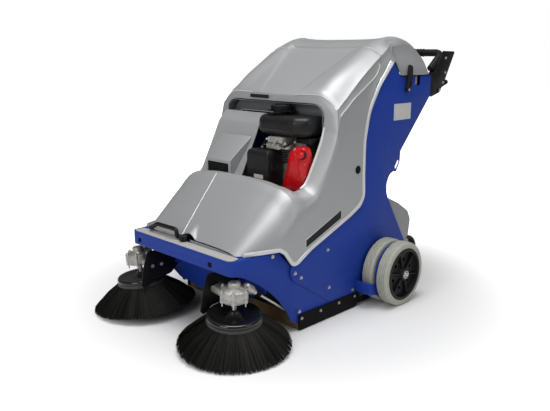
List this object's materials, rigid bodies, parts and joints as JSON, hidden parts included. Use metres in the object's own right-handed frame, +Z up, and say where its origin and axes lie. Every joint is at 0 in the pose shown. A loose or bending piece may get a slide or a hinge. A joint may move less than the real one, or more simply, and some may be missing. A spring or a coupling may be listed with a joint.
{
  "type": "sweeping machine",
  "caption": "Walk-behind petrol sweeper: silver hood, blue steel body, two side brooms, main brush, twin rear wheels a side, rear hopper and handlebar.",
  "frame": {"origin": "centre of the bounding box, on the floor", "axes": "+Z up, -Y the machine's front, +X its left side"},
  "size_m": [0.9051, 1.3997, 1.019],
  "materials": {
    "silver_moulding": "satin silver moulding",
    "blue_powder_coat": "satin blue powder coat",
    "black_steel": "satin black paint",
    "black_plastic": "black moulded plastic",
    "tyre_grey": "grey solid rubber",
    "black_rubber": "black sheet rubber",
    "brown_rubber": "brown sheet rubber",
    "cast_alloy": "sand cast alloy",
    "red_enamel": "glossy red enamel",
    "nylon_bristle": "black nylon bristle",
    "zinc_steel": "zinc plated",
    "grey_plastic": "grey moulded plastic",
    "grip_pad": "grey ribbed pad"
  },
  "bodies": {
    "chassis": {"front_frame": "blue_powder_coat", "bumper_pad": "grip_pad", "chassis_floor": "blue_powder_coat", "front_crossmember": "black_steel", "brush_housing": "blue_powder_coat", "front_flap": "brown_rubber", "rear_flap": "black_rubber", "engine_deck": "black_steel", "engine_block": "cast_alloy", "fan_cover": "red_enamel", "air_filter_box": "black_plastic", "fuel_tank": "black_plastic", "carburettor": "cast_alloy", "muffler": "black_steel", "rear_cover": "blue_powder_coat", "dust_filter": "grey_plastic", "handlebar": "black_plastic", "side_panel_left": "blue_powder_coat", "side_skirt_left": "black_rubber", "axle_bearing_left": "zinc_steel", "wheel_case_left": "blue_powder_coat", "handle_bracket_left": "black_steel", "hopper_rail_left": "black_steel", "side_panel_right": "blue_powder_coat", "side_skirt_right": "black_rubber", "axle_bearing_right": "zinc_steel", "wheel_case_right": "blue_powder_coat", "handle_bracket_right": "black_steel", "hopper_rail_right": "black_steel"},
    "hood": {"hood_shell": "silver_moulding", "recess_panel": "silver_moulding", "vent_grille": "black_plastic", "grab_bar": "black_steel"},
    "fuel_cap": {"fuel_cap": "black_plastic"},
    "latch_knob": {"latch_knob": "black_plastic"},
    "side_lever": {"side_lever": "black_plastic"},
    "drive_lever": {"drive_lever": "black_steel"},
    "main_brush": {"main_brush": "nylon_bristle"},
    "castor_fork": {"castor_fork": "black_steel"},
    "castor_wheel": {"castor_wheel": "black_rubber"},
    "hopper": {"hopper": "grey_plastic"},
    "hopper_wheels": {"hopper_wheels": "black_plastic"},
    "wheels_left": {"tyre_outer_left": "tyre_grey", "tyre_inner_left": "tyre_grey", "wheel_hub_left": "black_plastic", "wheel_axle_left": "zinc_steel"},
    "broom_swing_left": {"broom_bracket_left": "black_steel", "gearbox_left": "cast_alloy"},
    "broom_left": {"side_broom_left": "nylon_bristle", "broom_hub_left": "black_plastic"},
    "drive_rod_left": {"drive_rod_left": "zinc_steel"},
    "wheels_right": {"tyre_outer_right": "tyre_grey", "tyre_inner_right": "tyre_grey", "wheel_hub_right": "black_plastic", "wheel_axle_right": "zinc_steel"},
    "broom_swing_right": {"broom_bracket_right": "black_steel", "gearbox_right": "cast_alloy"},
    "broom_right": {"side_broom_right": "nylon_bristle", "broom_hub_right": "black_plastic"},
    "drive_rod_right": {"drive_rod_right": "zinc_steel"}
  },
  "joints": [
    {"name": "hood_hinge", "type": "hinge", "parent": "chassis", "child": "hood", "pos_m": [0, 0.5182, 0.874], "axis": [-1, 0, 0], "range_deg": [0, 50]},
    {"name": "latch_knob_turn", "type": "hinge", "parent": "chassis", "child": "latch_knob", "pos_m": [-0.018, -0.4928, 0.32], "axis": [0, 0, 1], "range_deg": [0, 90]},
    {"name": "fuel_cap_turn", "type": "hinge", "parent": "chassis", "child": "fuel_cap", "pos_m": [0.062, -0.0848, 0.759], "axis": [0, 0, 1], "range_deg": [0, 120]},
    {"name": "side_lever_swing", "type": "hinge", "parent": "chassis", "child": "side_lever", "pos_m": [0.325, 0.3452, 0.82], "axis": [-1, 0, 0], "range_deg": [0, 45]},
    {"name": "drive_lever_squeeze", "type": "hinge", "parent": "chassis", "child": "drive_lever", "pos_m": [0, 0.5912, 0.806], "axis": [1, 0, 0], "range_deg": [0, 25], "stiffness_Nm_per_rad": 1.5, "springref_deg": -20.05},
    {"name": "main_brush_spin", "type": "hinge", "parent": "chassis", "child": "main_brush", "pos_m": [0, -0.0708, 0.107], "axis": [1, 0, 0], "continuous": true},
    {"name": "castor_swivel", "type": "hinge", "parent": "chassis", "child": "castor_fork", "pos_m": [0, -0.3298, 0.1], "axis": [0, 0, 1], "continuous": true},
    {"name": "castor_roll", "type": "hinge", "parent": "castor_fork", "child": "castor_wheel", "pos_m": [0, -0.3098, 0.035], "axis": [1, 0, 0], "continuous": true},
    {"name": "hopper_slide", "type": "slide", "parent": "chassis", "child": "hopper", "axis": [0, 1, 0], "range_m": [0, 0.3]},
    {"name": "hopper_wheels_roll", "type": "hinge", "parent": "hopper", "child": "hopper_wheels", "pos_m": [0, 0.5272, 0.108], "axis": [1, 0, 0], "continuous": true},
    {"name": "wheels_left_roll", "type": "hinge", "parent": "chassis", "child": "wheels_left", "pos_m": [0.381, 0.2152, 0.125], "axis": [1, 0, 0], "continuous": true},
    {"name": "broom_swing_left_lift", "type": "hinge", "parent": "chassis", "child": "broom_swing_left", "pos_m": [0.172, -0.4138, 0.188], "axis": [-1, 0, 0], "range_deg": [0, 5]},
    {"name": "broom_left_spin", "type": "hinge", "parent": "broom_swing_left", "child": "broom_left", "pos_m": [0.258, -0.5048, 0.02131], "axis": [0.0867, -0.0594, 0.9945], "continuous": true},
    {"name": "drive_rod_left_spin", "type": "hinge", "parent": "broom_swing_left", "child": "drive_rod_left", "pos_m": [0.292, -0.4528, 0.198], "axis": [0, 0.8148, -0.5798], "continuous": true},
    {"name": "wheels_right_roll", "type": "hinge", "parent": "chassis", "child": "wheels_right", "pos_m": [-0.381, 0.2152, 0.125], "axis": [1, 0, 0], "continuous": true},
    {"name": "broom_swing_right_lift", "type": "hinge", "parent": "chassis", "child": "broom_swing_right", "pos_m": [-0.172, -0.4138, 0.188], "axis": [-1, 0, 0], "range_deg": [0, 5]},
    {"name": "broom_right_spin", "type": "hinge", "parent": "broom_swing_right", "child": "broom_right", "pos_m": [-0.258, -0.5048, 0.02131], "axis": [-0.0867, -0.0594, 0.9945], "continuous": true},
    {"name": "drive_rod_right_spin", "type": "hinge", "parent": "broom_swing_right", "child": "drive_rod_right", "pos_m": [-0.292, -0.4528, 0.198], "axis": [0, 0.8148, -0.5798], "continuous": true}
  ],
  "couplings": [
    {"joint": "broom_left_spin", "follows": "main_brush_spin", "ratio": -0.3},
    {"joint": "drive_rod_left_spin", "follows": "main_brush_spin", "ratio": 1.2},
    {"joint": "broom_right_spin", "follows": "main_brush_spin", "ratio": 0.3},
    {"joint": "drive_rod_right_spin", "follows": "main_brush_spin", "ratio": -1.2}
  ]
}
